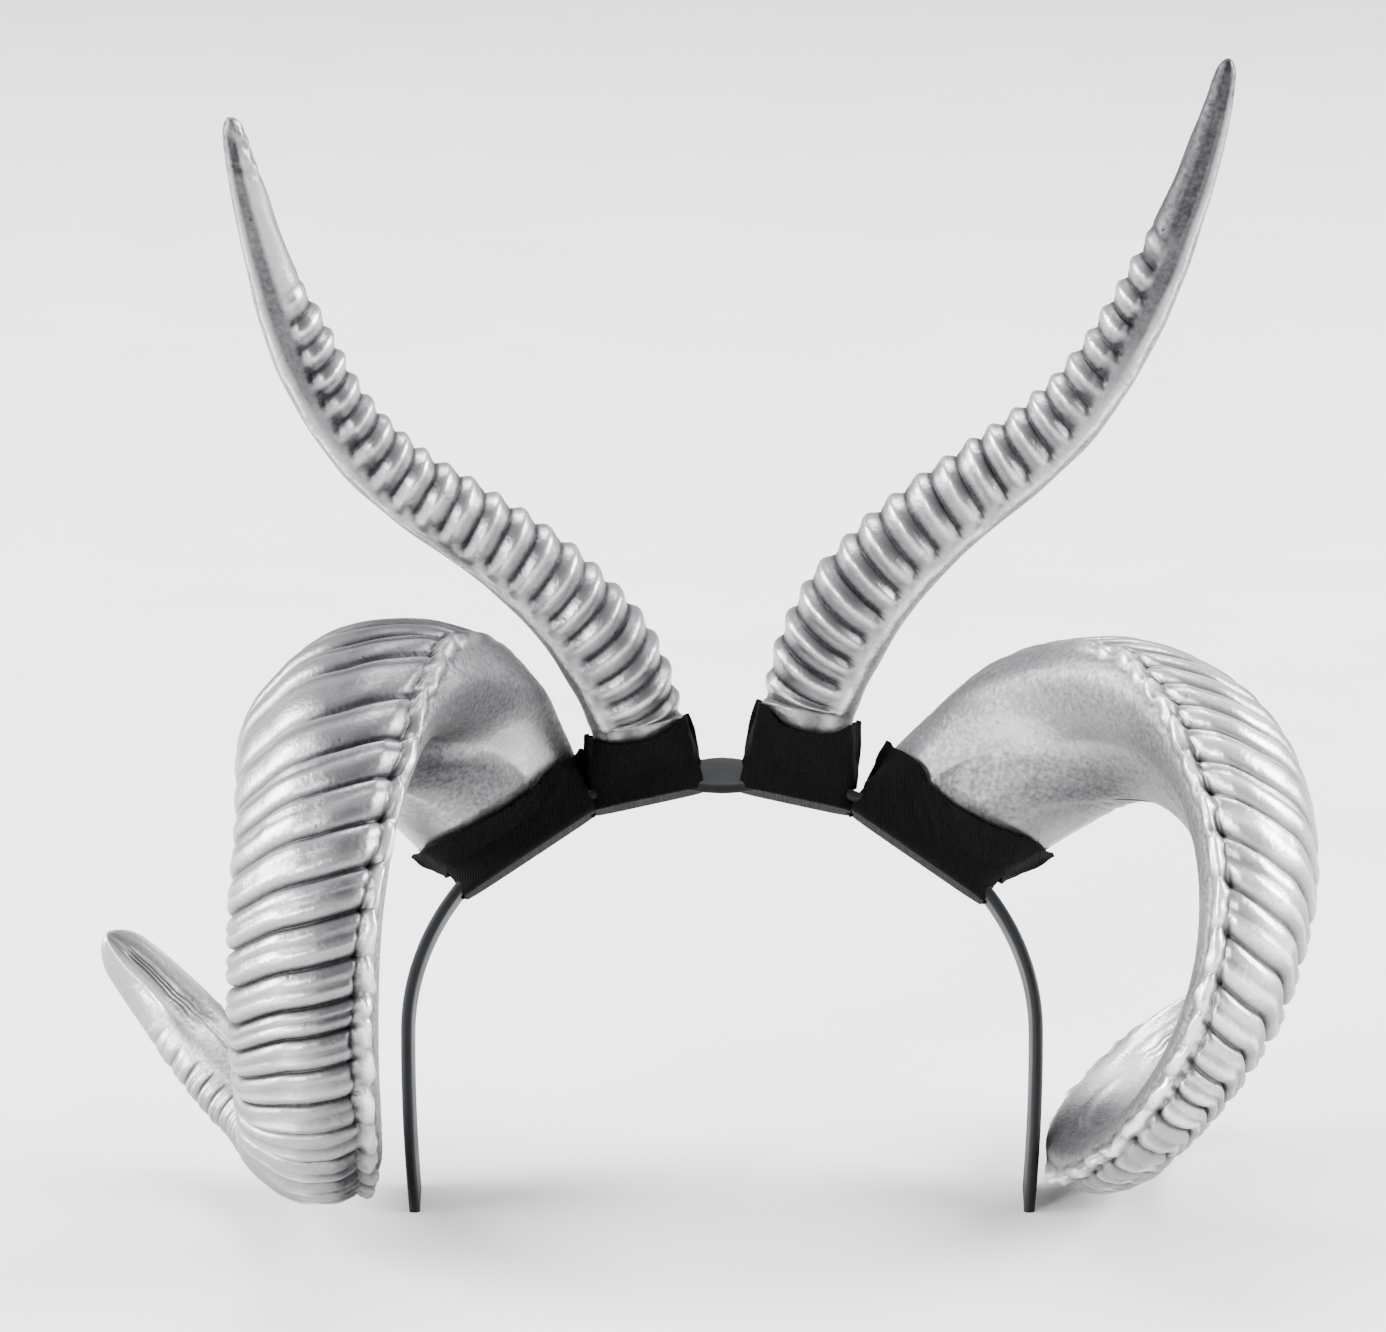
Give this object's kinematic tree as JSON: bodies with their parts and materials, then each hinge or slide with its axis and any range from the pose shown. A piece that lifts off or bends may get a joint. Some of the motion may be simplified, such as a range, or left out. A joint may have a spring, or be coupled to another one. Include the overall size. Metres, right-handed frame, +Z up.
{
  "type": "horned headband",
  "caption": "Costume headband with tall S-curved horns and big curled ram horns in ribbed silver, each held on the black band by a cloth sleeve.",
  "frame": {"origin": "middle of the overall box, on the floor that the two level ends of the band stand on", "axes": "+X to the wearer's right, +Y to the wearer's front, +Z up"},
  "size_m": [0.3352, 0.162, 0.317],
  "materials": {
    "silver_horn": "satin silver paint over moulded foam latex, dull in the grooves",
    "sleeve_cloth": "matt black cloth with a fine ribbed weave",
    "band_plastic": "dark grey-blue satin plastic"
  },
  "bodies": {
    "root": {"headband": "band_plastic", "antelope_horn_left": "silver_horn", "antelope_horn_right": "silver_horn", "ram_horn_left": "silver_horn", "ram_horn_right": "silver_horn", "antelope_sleeve_left": "sleeve_cloth", "antelope_sleeve_right": "sleeve_cloth", "ram_sleeve_left": "sleeve_cloth", "ram_sleeve_right": "sleeve_cloth"}
  },
  "joints": []
}
